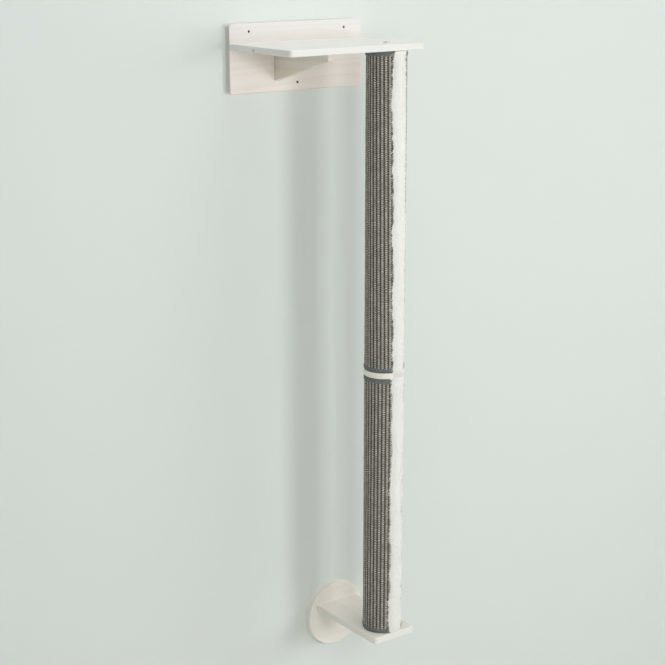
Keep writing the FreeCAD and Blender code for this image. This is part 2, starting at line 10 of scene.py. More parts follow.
import bpy
import numpy as np
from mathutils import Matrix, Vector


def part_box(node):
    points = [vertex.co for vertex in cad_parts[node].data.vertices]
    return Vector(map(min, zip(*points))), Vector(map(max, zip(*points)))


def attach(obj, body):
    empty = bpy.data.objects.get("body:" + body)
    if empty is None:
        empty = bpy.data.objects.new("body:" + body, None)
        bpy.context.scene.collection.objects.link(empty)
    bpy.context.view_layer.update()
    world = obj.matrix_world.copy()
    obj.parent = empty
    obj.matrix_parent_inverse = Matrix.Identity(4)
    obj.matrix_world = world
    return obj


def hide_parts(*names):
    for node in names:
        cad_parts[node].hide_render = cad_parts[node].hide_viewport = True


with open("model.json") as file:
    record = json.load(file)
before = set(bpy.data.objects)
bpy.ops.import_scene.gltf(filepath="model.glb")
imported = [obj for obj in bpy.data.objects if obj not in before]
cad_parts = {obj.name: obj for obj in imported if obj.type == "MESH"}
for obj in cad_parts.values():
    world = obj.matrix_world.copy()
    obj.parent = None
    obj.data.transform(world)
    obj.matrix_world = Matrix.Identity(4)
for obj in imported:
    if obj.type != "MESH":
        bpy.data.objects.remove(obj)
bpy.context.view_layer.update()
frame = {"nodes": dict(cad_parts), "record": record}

LOG = logging.getLogger("climbing_post")
BODY = "root"
MM = 0.001

Colour = tuple[float, float, float]
Number = Union[int, float]


def srgb(red: int, green: int, blue: int) -> Colour:
    """Turns an 8-bit screen colour into linear light.

    Args:
        red: Red from 0 to 255.
        green: Green from 0 to 255.
        blue: Blue from 0 to 255.

    Returns:
        The linear colour, each part from 0 to 1.
    """
    parts = np.array((red, green, blue)) / 255
    low, high = parts / 12.92, ((parts + 0.055) / 1.055) ** 2.4
    return tuple(float(x) for x in np.where(parts <= 0.04045, low, high))


class Signal:
    """A socket that carries a number in a material, with arithmetic that adds Math nodes."""

    def __init__(self, graph: "Graph", socket: bpy.types.NodeSocket) -> None:
        """Keeps the graph and the output socket that this signal comes from."""
        self.graph = graph
        self.socket = socket

    def _math(self, operation: str, first: Any, second: Any = None, third: Any = None) -> "Signal":
        """Adds one Math node.

        Args:
            operation: The node's operation.
            first: First value, a number or a signal.
            second: Second value, where the operation has one.
            third: Third value, where the operation has one.

        Returns:
            The node's result.
        """
        inputs = {i: v for i, v in enumerate((first, second, third)) if v is not None}
        return self.graph.signal("ShaderNodeMath", {"operation": operation}, inputs)

    def __add__(self, other: Any) -> "Signal":
        """This signal plus another."""
        return self._math("ADD", self, other)

    __radd__ = __add__

    def __sub__(self, other: Any) -> "Signal":
        """This signal less another."""
        return self._math("SUBTRACT", self, other)

    def __rsub__(self, other: Any) -> "Signal":
        """A number less this signal."""
        return self._math("SUBTRACT", other, self)

    def __mul__(self, other: Any) -> "Signal":
        """This signal times another."""
        return self._math("MULTIPLY", self, other)

    __rmul__ = __mul__

    def __truediv__(self, other: Any) -> "Signal":
        """This signal over another."""
        return self._math("DIVIDE", self, other)

    def __rtruediv__(self, other: Any) -> "Signal":
        """A number over this signal."""
        return self._math("DIVIDE", other, self)

    def __pow__(self, other: Any) -> "Signal":
        """This signal to a power."""
        return self._math("POWER", self, other)

    def __abs__(self) -> "Signal":
        """This signal without its sign."""
        return self._math("ABSOLUTE", self)

    def floor(self) -> "Signal":
        """The whole part."""
        return self._math("FLOOR", self)

    def fraction(self) -> "Signal":
        """What is left over the whole part."""
        return self._math("FRACT", self)

    def sine(self) -> "Signal":
        """The sine of this signal in radians."""
        return self._math("SINE", self)

    def largest(self, other: Any) -> "Signal":
        """The larger of this signal and another."""
        return self._math("MAXIMUM", self, other)

    def ramp(self, low: Number, high: Number, start: Number = 0.0, end: Number = 1.0) -> "Signal":
        """Eases from one value to another.

        Args:
            low: Where the ease starts.
            high: Where it ends.
            start: Result at and below low.
            end: Result at and above high.

        Returns:
            The eased signal.
        """
        values = {"Value": self, "From Min": low, "From Max": high, "To Min": start, "To Max": end}
        return self.graph.signal("ShaderNodeMapRange", {"interpolation_type": "SMOOTHSTEP"}, values)


class Graph:
    """The nodes of one material or world, made through one method."""

    def __init__(self, owner: Any) -> None:
        """Empties the owner's node tree and keeps it.

        Args:
            owner: A material or a world.
        """
        owner.use_nodes = True
        self.tree = owner.node_tree
        self.tree.nodes.clear()

    def node(self, kind: str, settings: dict[str, Any] | None = None,
             inputs: dict | None = None) -> bpy.types.Node:
        """Makes one node.

        Args:
            kind: The node's type.
            settings: What is set on the node first.
            inputs: Values or links of its sockets, by name or index.

        Returns:
            The new node.
        """
        made = self.tree.nodes.new(kind)
        for key, value in (settings or {}).items():
            setattr(made, key, value)
        for key, value in (inputs or {}).items():
            if isinstance(value, Signal):
                value = value.socket
            if isinstance(value, bpy.types.NodeSocket):
                self.tree.links.new(value, made.inputs[key])
            else:
                made.inputs[key].default_value = value
        return made

    def signal(self, kind: str, settings: dict[str, Any] | None = None, inputs: dict | None = None,
               output: Union[int, str] = 0) -> Signal:
        """Makes one node and wraps one of its outputs.

        Args:
            kind: The node's type.
            settings: What is set on the node first.
            inputs: Values or links of its sockets.
            output: Name or index of the output.

        Returns:
            The output as a signal.
        """
        return Signal(self, self.node(kind, settings, inputs).outputs[output])

    def split(self, vector: bpy.types.NodeSocket) -> tuple[Signal, Signal, Signal]:
        """The three parts of a vector."""
        parts = self.node("ShaderNodeSeparateXYZ", inputs={0: vector}).outputs
        return Signal(self, parts[0]), Signal(self, parts[1]), Signal(self, parts[2])

    def join(self, x: Any, y: Any, z: Any = 0.0) -> bpy.types.NodeSocket:
        """A vector of three numbers or signals."""
        return self.node("ShaderNodeCombineXYZ", inputs={0: x, 1: y, 2: z}).outputs[0]

    def place(self) -> bpy.types.NodeSocket:
        """The Object coordinates."""
        return self.node("ShaderNodeTexCoord").outputs["Object"]

    def map(self, name: str) -> tuple[Signal, Signal]:
        """The two parts of a UV map."""
        return self.split(self.node("ShaderNodeUVMap", {"uv_map": name}).outputs[0])[:2]

    def noise(self, vector: Any, scale: Number, detail: Number = 2.0, roughness: Number = 0.5) -> Signal:
        """Fractal noise.

        Args:
            vector: Where it is read.
            scale: Its frequency.
            detail: Number of octaves.
            roughness: How strong the fine octaves are.

        Returns:
            Noise about 0.5.
        """
        values = {"Vector": vector, "Scale": scale, "Detail": detail, "Roughness": roughness}
        return self.signal("ShaderNodeTexNoise", {"noise_dimensions": "3D"}, values)

    def chance(self, vector: Any) -> Signal:
        """One random number from 0 to 1 for each vector."""
        return self.signal("ShaderNodeTexWhiteNoise", {"noise_dimensions": "3D"}, {"Vector": vector})

    def mix(self, first: Any, second: Any, share: Any) -> bpy.types.NodeSocket:
        """Mixes two colours.

        Args:
            first: Colour or socket shown at share 0.
            second: Colour or socket shown at share 1.
            share: Number or signal from 0 to 1.

        Returns:
            The mixed colour.
        """
        first, second = ((*c, 1.0) if isinstance(c, tuple) else c for c in (first, second))
        made = self.node("ShaderNodeMix", {"data_type": "RGBA"}, {0: share, 6: first, 7: second})
        return made.outputs[2]

    def bump(self, height: Signal, distance: float, strength: float = 1.0) -> bpy.types.NodeSocket:
        """A Bump node on a height from 0 to 1, that is distance metres deep."""
        values = {"Strength": strength, "Distance": distance, "Height": height}
        return self.node("ShaderNodeBump", inputs=values).outputs[0]

    def surface(self, shader: bpy.types.NodeSocket, kind: str = "Material") -> None:
        """Links a shader to the output node."""
        self.node(f"ShaderNodeOutput{kind}", inputs={"Surface": shader})


class Finish:
    """A material that is made once and then shared."""

    made: dict[Any, bpy.types.Material] = {}

    def graph_values(self, graph: Graph) -> dict[str, Any]:
        """The Principled shader's values; each finish gives its own."""
        raise NotImplementedError

    def material(self) -> bpy.types.Material:
        """Makes the material, or gives the one made before.

        Returns:
            The material.
        """
        if self not in Finish.made:
            made = bpy.data.materials.new(type(self).__name__.lower())
            graph = Graph(made)
            shader = graph.node("ShaderNodeBsdfPrincipled", inputs=self.graph_values(graph))
            graph.surface(shader.outputs[0])
            Finish.made[self] = made
        return Finish.made[self]

    def dress(self, piece: bpy.types.Object) -> None:
        """Gives a piece this finish alone."""
        piece.data.materials.clear()
        piece.data.materials.append(self.material())


class Grain(Enum):
    """Which way the fibres of a board run, as the order of coordinates along, across and through."""

    ALONG_X = (0, 1, 2)
    ALONG_Y = (1, 0, 2)
    ALONG_Z = (2, 0, 1)


@dataclass(frozen=True)
class Wood(Finish):
    """Wood with growth bands, fine fibres and pores along its grain."""

    pale: Colour
    deep: Colour
    pore: Colour
    grain: Grain = Grain.ALONG_X
    band_pitch: float = 16 * MM
    band_share: float = 0.3
    band_drift: float = 24.0
    drift_scale: float = 22.0
    through_share: float = 0.6
    pore_share: float = 0.25
    pore_scale: float = 1500.0
    pore_limits: tuple[float, float] = (0.62, 0.74)
    fibre_scale: float = 900.0
    cloud_scale: float = 7.0
    stretch: float = 0.07
    fibre_stretch: float = 0.042
    knot: tuple[float, float, float] | None = None
    knot_size: tuple[float, float, float] = (14 * MM, 17 * MM, 8 * MM)
    knot_tone: Colour = srgb(186, 174, 154)
    ends: tuple[float, float] | None = None
    end_fade: float = 1.2 * MM
    painted_end_shading: Colour | None = None
    painted_bounce_tone: Colour | None = None
    painted_bounce_top: float = 0.0
    painted_bounce_fade: float = 35 * MM
    joint: float | None = None
    crease_shade_width: float = 4.5 * MM
    crease_shade_tone: Colour = srgb(150, 138, 122)
    holes: tuple[tuple[float, float], ...] = ()
    hole_radius: float = 3 * MM
    hole_edge: float = 0.2 * MM
    hole_shade_tone: Colour = srgb(96, 87, 76)
    roughness: float = 0.5
    roughness_swing: float = 0.16
    relief: float = 0.25 * MM
    relief_strength: float = 0.35

    def graph_values(self, graph: Graph) -> dict[str, Any]:
        """Colour, gloss and bump of the board.

        Bands are sin(across * 2 pi / pitch + drift), with a slow noise as drift, and fade on the end grain,
        which takes more wash. Fibres and pores are noises that are stretched along the grain. The end faces
        may take a painted end tone, which is painted shade on some boards and painted light on others. Below
        a height the wash may turn to a warmer tone, painted bounce light under the shelf. A joint is the
        depth y of the board that this one stands on, where a dark line is laid, partly the joint's gap and
        partly painted crease shade. The bores of holes darken, partly bare wood and partly painted shade.

        Args:
            graph: The material's nodes.

        Returns:
            Values of the Principled shader.
        """
        parts = graph.split(graph.place())
        along, across, through = (parts[i] for i in self.grain.value)
        drawn_out = graph.join(along * self.stretch, across, through)
        drift = graph.noise(drawn_out, self.drift_scale, 3.0)
        turn = 2 * math.pi / self.band_pitch
        rings = (across + through * self.through_share) * turn + drift * self.band_drift
        band = rings.sine().ramp(-0.6, 1.0)
        thread = graph.join(along * self.fibre_stretch, across, through)
        fibre = graph.noise(thread, self.fibre_scale, 3.0, 0.65)
        pore = graph.noise(drawn_out, self.pore_scale, 1.0).ramp(*self.pore_limits)
        cloud = graph.noise(graph.join(along, across, through), self.cloud_scale, 2.0).ramp(0.3, 0.7)
        shown, pale = band * self.band_share, self.pale
        # Painted bounce light: below a height the wash turns to a warmer tone.
        if self.painted_bounce_tone:
            upper = parts[2].ramp(self.painted_bounce_top - self.painted_bounce_fade, self.painted_bounce_top + self.painted_bounce_fade)
            pale = graph.mix(self.painted_bounce_tone, pale, upper)
        if self.ends:
            middle, half = sum(self.ends) / 2, (self.ends[1] - self.ends[0]) / 2
            at_end = abs(along - middle).ramp(half - self.end_fade, half)
            shown = shown * (1 - 0.8 * at_end)
            # Painted end shading: the end faces take a tone that is painted shade on some boards and painted
            # light on others.
            if self.painted_end_shading:
                pale = graph.mix(pale, self.painted_end_shading, at_end)
        tone = graph.mix(pale, self.deep, shown * (fibre * 0.8 + 0.6) * (cloud * 0.6 + 0.4))
        tone = graph.mix(tone, self.pore, pore * self.pore_share * (0.4 + 0.6 * band))
        # A dark line at the joint: partly its gap, partly painted crease shade.
        if self.joint is not None:
            crease_shade = abs(parts[1] - self.joint).ramp(0.0, self.crease_shade_width, 0.6, 0.0)
            tone = graph.mix(tone, self.crease_shade_tone, crease_shade)
        if self.knot:
            tone = graph.mix(tone, self.knot_tone, self._knot(parts))
        # Dark bores: partly bare wood, partly painted shade in the holes.
        for x, z in self.holes:
            away = ((parts[0] - x) ** 2.0 + (parts[2] - z) ** 2.0) ** 0.5
            bore_shade = away.ramp(self.hole_radius, self.hole_radius + self.hole_edge, 1.0, 0.0)
            tone = graph.mix(tone, self.hole_shade_tone, bore_shade)
        height = fibre * 0.6 + (1 - pore) * 0.4
        return {
            "Base Color": tone,
            "Roughness": fibre * self.roughness_swing + (self.roughness - self.roughness_swing / 2),
            "Normal": graph.bump(height, self.relief, self.relief_strength),
        }

    def _knot(self, parts: Sequence[Signal]) -> Signal:
        """The share of a small oval knot, most in its middle and 0 outside.

        Args:
            parts: The three Object coordinates.

        Returns:
            The share.
        """
        away = sum(((p - c) / (s / 2)) ** 2.0 for p, c, s in zip(parts, self.knot, self.knot_size))
        return away.ramp(0.25, 1.1, 0.5, 0.0)


@dataclass(frozen=True)
class WovenCord(Finish):
    """Two-tone woven mat: pale twisted cords between dark stitches."""

    pale: Colour = srgb(220, 215, 205)
    dusk: Colour = srgb(102, 99, 93)
    dark: Colour = srgb(64, 62, 57)
    fleck: Colour = srgb(122, 119, 111)
    lean: float = 0.25
    rib_step: float = 0.618
    cord_edge: tuple[float, float] = (0.22, 0.31)
    fibre_pace: tuple[float, float] = (9.0, 2.2)
    worn_pace: tuple[float, float] = (3.7, 0.16)
    worn_share: tuple[float, float] = (0.75, 1.05)
    relief: float = 0.5 * MM

    def graph_values(self, graph: Graph) -> dict[str, Any]:
        """Colour, gloss and bump of the mat; its map counts ribs across and stitches along.

        Each cord starts rib_step of a stitch later than the one before, so that no rows line up.

        Args:
            graph: The material's nodes.

        Returns:
            Values of the Principled shader.
        """
        rib, stitch = graph.map("weave")
        local = rib.fraction() - 0.5
        cord = abs(local).ramp(*self.cord_edge, 1.0, 0.0)
        lean = stitch + local * self.lean + rib.floor() * self.rib_step
        strand = abs((lean * math.pi).sine())
        tuft = abs(((stitch + 0.5) * math.pi).sine())
        own = graph.chance(graph.join(rib.floor(), lean.floor()))
        other = graph.chance(graph.join((rib + 0.5).floor() + 0.5, (stitch + 0.5).floor()))
        across, along = self.fibre_pace
        fibre = graph.noise(graph.join(rib * across, lean * along), 3.0, 3.0, 0.6)
        across, along = self.worn_pace
        slow = graph.noise(graph.join(rib.floor() * across, stitch * along), 1.0, 2.0)
        worn = slow.ramp(0.35, 0.65, *self.worn_share)
        lit = strand.ramp(0.15, 0.95, 0.2, 1.0) * (0.6 + 0.4 * own) * worn
        light = graph.mix(self.dusk, self.pale, lit)
        shade = graph.mix(self.dark, self.fleck, tuft.ramp(0.3, 1.0) * (0.4 + 0.6 * other))
        tone = graph.mix(shade, light, cord * (0.7 + 0.3 * strand))
        tone = graph.mix(tone, self.dark, fibre.ramp(0.5, 0.9) * 0.4)
        return {
            "Base Color": tone,
            "Roughness": 0.86,
            "Specular IOR Level": 0.25,
            "Normal": graph.bump(fibre, self.relief, 0.6),
        }


@dataclass(frozen=True)
class PlushPile(Finish):
    """White plush; the map runs from a fibre's root at 0 to its tip at 1, and the roots take painted shade.
    """

    tip: Colour = srgb(250, 250, 246)
    root: Colour = srgb(228, 228, 221)
    clump_scale: float = 130.0
    root_shade_reach: float = 0.7

    def graph_values(self, graph: Graph) -> dict[str, Any]:
        """Colour and gloss of the pile.

        Args:
            graph: The material's nodes.

        Returns:
            Values of the Principled shader.
        """
        own, rise = graph.map("pile")
        clump = graph.noise(graph.place(), self.clump_scale, 2.0)
        # Painted shade deep in the pile: the tone darkens from the tips towards the roots.
        share = rise.ramp(0.0, self.root_shade_reach) * (0.75 + 0.25 * own) * (0.7 + 0.6 * clump)
        return {
            "Base Color": graph.mix(self.root, self.tip, share),
            "Roughness": 0.8 + 0.15 * own,
            "Specular IOR Level": 0.2,
            "Sheen Weight": 0.25,
            "Sheen Roughness": 0.5,
        }


@dataclass(frozen=True)
class BindingWeave(Finish):
    """Slate-grey woven binding; the map is in millimetres along and across the tape."""

    warp: Colour = srgb(116, 123, 118)
    weft: Colour = srgb(84, 91, 88)
    end_shade: Colour = srgb(58, 63, 61)
    thread: Colour = srgb(158, 163, 156)
    end_shade_from: float = 8.2
    end_shade_to: float = 11.0
    end_shade_share: float = 0.7
    twill_pitch: float = 1.1
    seam_at: float = 2.6
    seam_pitch: float = 3.4
    seam_edge: tuple[float, float] = (0.25, 0.5)
    dash_end: tuple[float, float] = (0.62, 0.7)
    relief: float = 0.25 * MM

    def graph_values(self, graph: Graph) -> dict[str, Any]:
        """Twill lines, a row of stitches near the free edge, and painted shade along the edge at the
        segment's end.

        Args:
            graph: The material's nodes.

        Returns:
            Values of the Principled shader.
        """
        along, across = graph.map("tape")
        turn = 2 * math.pi / self.twill_pitch
        twill = ((along + across) * turn).sine() * 0.5 + 0.5
        yarn = graph.noise(graph.join(along * 2.0, across * 0.7), 1.6, 2.0)
        dash = (along / self.seam_pitch).fraction().ramp(*self.dash_end, 1.0, 0.0)
        seam = abs(across - self.seam_at).ramp(*self.seam_edge, 1.0, 0.0) * dash
        tone = graph.mix(self.weft, self.warp, twill * 0.7 + yarn * 0.4)
        tone = graph.mix(tone, self.thread, seam * 0.8)
        # Painted shade: the tone darkens towards the edge at the segment's end, where the tape meets the next
        # part.
        tone = graph.mix(tone, self.end_shade, across.ramp(self.end_shade_from, self.end_shade_to, 0.0, self.end_shade_share))
        return {
            "Base Color": tone,
            "Roughness": 0.72,
            "Normal": graph.bump(twill * 0.5 + yarn * 0.5 + seam, self.relief, 0.6),
        }


@dataclass(frozen=True)
class TubeBoard(Finish):
    """Brown paper board, wound in a spiral."""

    pale: Colour = srgb(176, 147, 112)
    deep: Colour = srgb(150, 121, 88)
    fibre_scale: float = 650.0
    mottle_scale: float = 24.0
    relief: float = 0.15 * MM

    def graph_values(self, graph: Graph) -> dict[str, Any]:
        """Paper fibres and a slow mottle.

        Args:
            graph: The material's nodes.

        Returns:
            Values of the Principled shader.
        """
        fibre = graph.noise(graph.place(), self.fibre_scale, 4.0, 0.7)
        mottle = graph.noise(graph.place(), self.mottle_scale, 2.0)
        return {
            "Base Color": graph.mix(self.pale, self.deep, fibre * 0.6 + mottle * 0.4),
            "Roughness": 0.85,
            "Normal": graph.bump(fibre, self.relief, 0.4),
        }


@dataclass(frozen=True)
class PlatedSteel(Finish):
    """Zinc-plated steel with faint scratches and a cloudy tarnish."""

    bright: Colour = srgb(214, 216, 216)
    dull: Colour = srgb(178, 180, 182)
    cloud_scale: float = 260.0
    scratch_scale: float = 900.0
    scratch_squeeze: float = 12.0
    relief: float = 0.05 * MM

    def graph_values(self, graph: Graph) -> dict[str, Any]:
        """Tarnish in colour and gloss, scratches in the bump.

        Args:
            graph: The material's nodes.

        Returns:
            Values of the Principled shader.
        """
        x, y, z = graph.split(graph.place())
        cloud = graph.noise(graph.place(), self.cloud_scale, 3.0)
        scratch = graph.noise(graph.join(x * self.scratch_squeeze, y, z), self.scratch_scale, 2.0)
        return {
            "Base Color": graph.mix(self.bright, self.dull, cloud.ramp(0.3, 0.7)),
            "Metallic": 1.0,
            "Roughness": 0.28 + 0.2 * cloud,
            "Normal": graph.bump(scratch, self.relief, 0.3),
        }


class Shell:
    """Collects grids of points and writes them as one mesh."""

    def __init__(self, map_name: str) -> None:
        """Starts empty.

        Args:
            map_name: Name of the UV map that it will write.
        """
        self.map_name = map_name
        self.points: list[np.ndarray] = []
        self.places: list[np.ndarray] = []
        self.quads: list[np.ndarray] = []
        self.triangles: list[np.ndarray] = []
        self.count = 0

    def add(self, points: np.ndarray, places: np.ndarray) -> np.ndarray:
        """Adds points without faces.

        Args:
            points: Array that ends in x, y, z.
            places: Array of the same form that ends in u, v.

        Returns:
            The points' numbers, in the form of the array.
        """
        form = points.shape[:-1]
        numbers = self.count + np.arange(int(np.prod(form))).reshape(form)
        self.points.append(points.reshape(-1, 3))
        self.places.append(np.broadcast_to(places, (*form, 2)).reshape(-1, 2))
        self.count += numbers.size
        return numbers

    def skin(self, numbers: np.ndarray, flip: bool = False) -> None:
        """Puts quads over a grid; they face along (next row) x (next column) of the grid.

        Args:
            numbers: Rows and columns of point numbers.
            flip: Turns the faces over.
        """
        corners = (numbers[:-1, :-1], numbers[1:, :-1], numbers[1:, 1:], numbers[:-1, 1:])
        faces = np.stack(corners[::-1] if flip else corners, axis=-1).reshape(-1, 4)
        self.quads.append(faces)

    def fan(self, hub: int, rim: np.ndarray, flip: bool = False) -> None:
        """Puts triangles between a hub point and each two neighbours on a rim.

        Args:
            hub: Number of the hub point.
            rim: Numbers along the rim.
            flip: Turns the faces over.
        """
        hubs = np.broadcast_to(hub, rim[:-1].shape)
        faces = (hubs, rim[1:], rim[:-1]) if flip else (hubs, rim[:-1], rim[1:])
        self.triangles.append(np.stack(faces, axis=-1).reshape(-1, 3))

    def write(self, name: str) -> bpy.types.Object:
        """Writes the mesh and links its object, at the origin.

        Args:
            name: Name of the piece.

        Returns:
            The piece.
        """
        points = np.concatenate(self.points)
        places = np.concatenate(self.places)
        groups = [(4, np.concatenate(self.quads))] if self.quads else []
        groups += [(3, np.concatenate(self.triangles))] if self.triangles else []
        loops = np.concatenate([faces.ravel() for _, faces in groups]).astype(np.int32)
        totals = np.concatenate([np.full(len(faces), n) for n, faces in groups])
        starts = np.concatenate(([0], np.cumsum(totals)[:-1])).astype(np.int32)
        mesh = bpy.data.meshes.new(name)
        mesh.vertices.add(len(points))
        mesh.vertices.foreach_set("co", points.astype(np.float32).ravel())
        mesh.loops.add(len(loops))
        mesh.loops.foreach_set("vertex_index", loops)
        mesh.polygons.add(len(starts))
        mesh.polygons.foreach_set("loop_start", starts)
        mesh.polygons.foreach_set("use_smooth", np.ones(len(starts), bool))
        layer = mesh.uv_layers.new(name=self.map_name)
        layer.data.foreach_set("uv", places[loops].astype(np.float32).ravel())
        mesh.update(calc_edges=True)
        mesh.validate()
        piece = bpy.data.objects.new(name, mesh)
        bpy.context.scene.collection.objects.link(piece)
        return piece


def waves(rng: np.random.Generator, at: Sequence[np.ndarray], length: Sequence[float],
          count: int = 24) -> np.ndarray:
    """Smooth seeded noise, the sum of cosines of random directions and phases, scaled to about -1 to 1.

    Args:
        rng: Source of the random numbers.
        at: Coordinates, arrays that broadcast together.
        length: Mean wave length along each coordinate.
        count: Number of cosines.

    Returns:
        The noise at each point.
    """
    total = 0.0
    for _ in range(count):
        pace = rng.normal(0, 1, len(at)) * 2 * np.pi / np.array(length)
        total = total + np.cos(sum(k * x for k, x in zip(pace, at)) + rng.uniform(0, 2 * np.pi))
    return total / math.sqrt(count)


@dataclass(frozen=True)
class StripEnd:
    """How the two edges of a plush strip run out towards one end of their segment."""

    corner: float = math.radians(6)
    corner_reach: float = 4 * MM
    flare: float = 0.0
    flare_at: float = 22 * MM
    draw: float = math.radians(5)
    draw_at: float = 9 * MM

    @staticmethod
    def hump(away: np.ndarray, at: float) -> np.ndarray:
        """Rises from 0 to 1 at a distance from the end and falls again, as u exp(1 - u)."""
        return away / at * np.exp(1 - away / at)

    def right(self, away: np.ndarray) -> np.ndarray:
        """Change of the right edge's turn near the end, where it flares and its corner is cut back."""
        cut = self.corner * np.exp(-away / self.corner_reach)
        return self.flare * self.hump(away, self.flare_at) - cut

    def left(self, away: np.ndarray) -> np.ndarray:
        """Change of the left edge's turn near the end, where it draws back."""
        return -self.draw * self.hump(away, self.draw_at)


class End(Enum):
    """The two ends of a segment."""

    HEAD = "head"
    FOOT = "foot"


@dataclass(frozen=True)
class Fibres:
    """The blades of a plush pile; lengths are in millimetres.

    Tufts are cells of the strip that share a lean and a growth. Near an edge, past edge_from, blades lie
    flatter and outwards. The fringe is the blades at the free end.
    """

    pile: int = 46000
    fringe: int = 5000
    crowding: float = 0.8
    margin: float = 1.0
    fringe_root: tuple[float, float] = (0.7, 5.0)
    tuft: tuple[float, float] = (2.6, 3.4)
    tuft_steps: tuple[int, int] = (37, 101)
    tuft_kinds: int = 4096
    edge_from: float = 0.6
    length: tuple[float, float] = (2.4, 4.4)
    length_swing: float = 0.5
    fringe_length: tuple[float, float] = (6.5, 10.5)
    outwards: float = 0.6
    sideways: float = 0.45
    droop: float = 0.15
    sway: float = 0.35
    own_lean: float = 0.2
    fringe_lean: float = 0.95
    fringe_spread: float = 0.35
    rise: float = 0.7
    edge_rise: float = 0.75
    sunk: float = 0.25
    clear: float = 0.3
    half_width: tuple[float, float] = (0.18, 0.32)


@dataclass
class PostSegment:
    """One segment of the post: its woven mat, bindings, plush strip, tube and plugs."""

    name: str
    facing: float
    free_end: End
    seed: int
    head_edges: StripEnd
    foot_edges: StripEnd
    twist: float = 0.0
    rib_shift: float = 0.0
    edge_shares: tuple[float, float] = (0.47, 0.47)
    edge_growth: tuple[float, float] = (0.9, 0.9)
    ribs: int = 27
    rib_width: float = 10 * MM
    rib_columns: tuple[float, ...] = (0.0, 0.2, 0.4, 0.6, 0.8)
    stitch_rows: int = 4
    mat_share: float = 304.3 / 360
    mat_radius: float = 51 * MM
    valley_radius: float = 49.1 * MM
    mat_inner: float = 46.1 * MM
    stitch: float = 5.1 * MM
    cord_half: float = 0.31
    cord_base: float = 0.4
    stitch_half: float = 0.17
    stitch_height: float = 1.3 * MM
    stitch_drift: float = 0.5
    drift_length: tuple[float, float] = (2.5, 80 * MM)
    unevenness: float = 0.15 * MM
    uneven_length: float = 60 * MM
    squeeze: float = 1.2 * MM
    squeeze_reach: float = 4 * MM
    tape_width: float = 11 * MM
    tape_columns: int = 361
    tape_tongue: float = 2.2 * MM
    tape_fray: float = 0.4 * MM
    tape_outer: float = 52.1 * MM
    tape_sunk: float = 0.1 * MM
    tape_under: float = 0.4 * MM
    tape_stir: float = 0.12 * MM
    seam_half: float = 0.6
    seam_dip: tuple[float, float] = (0.25, 0.35)
    plush_width: float = 49 * MM
    plush_radius: float = 53.2 * MM
    plush_inner: float = 46.2 * MM
    notch_half: float = math.radians(23.5)
    notch_margin: float = math.radians(0.8)
    fluff_reach: float = math.radians(8.5)
    fluff_limits: tuple[float, float] = (0.02, 1.15)
    fluff_waves: tuple[tuple[float, float], ...] = ((0.75, 75 * MM), (0.3, 16 * MM))
    tuft_size: tuple[float, float] = (9 * MM, 11 * MM)
    tuft_height: float = 0.35 * MM
    flap_radius: float = 51.25 * MM
    flap_pile: float = 0.5 * MM
    cloth_share: float = 0.93
    cloth_grid: tuple[int, int] = (321, 31)
    cloth_margin: float = 0.6 * MM
    fibres: Fibres = Fibres()
    fringe_rise: float = 0.06
    pieces: list[bpy.types.Object] = field(default_factory=list)

    def __post_init__(self) -> None:
        """Takes the segment's axis and ends from its solids."""
        low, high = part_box(f"{self.name}_tube")
        self.axis = ((low.x + high.x) / 2, (low.y + high.y) / 2)
        self.foot, self.head = low.z, high.z
        self.rng = np.random.default_rng(self.seed)
        self.rib_turn = 2 * math.pi * self.mat_share / self.ribs
        self.first_rib = (1 - self.mat_share) * math.pi + self.rib_shift

    def turn(self, angle: np.ndarray, z: np.ndarray) -> np.ndarray:
        """Turn about the axis at an angle from the strip's middle; the cover twists towards its foot."""
        return angle + self.facing + self.twist * (self.head - z) / (self.head - self.foot)

    def drawn_in(self, z: np.ndarray) -> np.ndarray:
        """How far the binding draws the mat in at each height, which is most at the very ends."""
        from_end = np.minimum(z - self.foot, self.head - z)
        return self.squeeze * np.exp(-(from_end / self.squeeze_reach) ** 2)

    def on_post(self, angle: np.ndarray, radius: np.ndarray, z: np.ndarray) -> np.ndarray:
        """Points at an angle from the strip's middle, a distance from the axis and a height.

        Args:
            angle: Turn from the middle of the plush strip.
            radius: Distance from the axis.
            z: Height.

        Returns:
            Array that ends in x, y, z.
        """
        turn = self.turn(angle, z)
        x, y = self.axis[0] + radius * np.cos(turn), self.axis[1] + radius * np.sin(turn)
        return np.stack(np.broadcast_arrays(x, y, z), axis=-1)

    def build(self) -> None:
        """Builds the mat, the two bindings, the plush cloth and its pile."""
        mat = self.build_mat()
        tapes = [self.build_tape(end) for end in End]
        cloth = self.build_plush()
        pile = self.build_pile()
        self.pieces = [mat, *tapes, cloth, pile]

    def dress(self) -> None:
        """Gives the pieces and the hidden solids their finishes and bodies."""
        mat, head_tape, foot_tape, cloth, pile = self.pieces
        rows = (
            (mat, WovenCord(), "woven_mat", f"{self.name}_mat"),
            (head_tape, BindingWeave(), "binding_tape", f"{self.name}_head_tape"),
            (foot_tape, BindingWeave(), "binding_tape", f"{self.name}_foot_tape"),
            (cloth, PlushPile(), "plush", f"{self.name}_plush_strip"),
            (pile, PlushPile(), "plush", None),
        )
        for piece, finish, slot, node in rows:
            finish.dress(piece)
            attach(piece, BODY)
            if node:
                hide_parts(node)
        TubeBoard().dress(frame["nodes"][f"{self.name}_tube"])
        for end in End:
            BARE_PINE.dress(frame["nodes"][f"{self.name}_{end.value}_plug"])

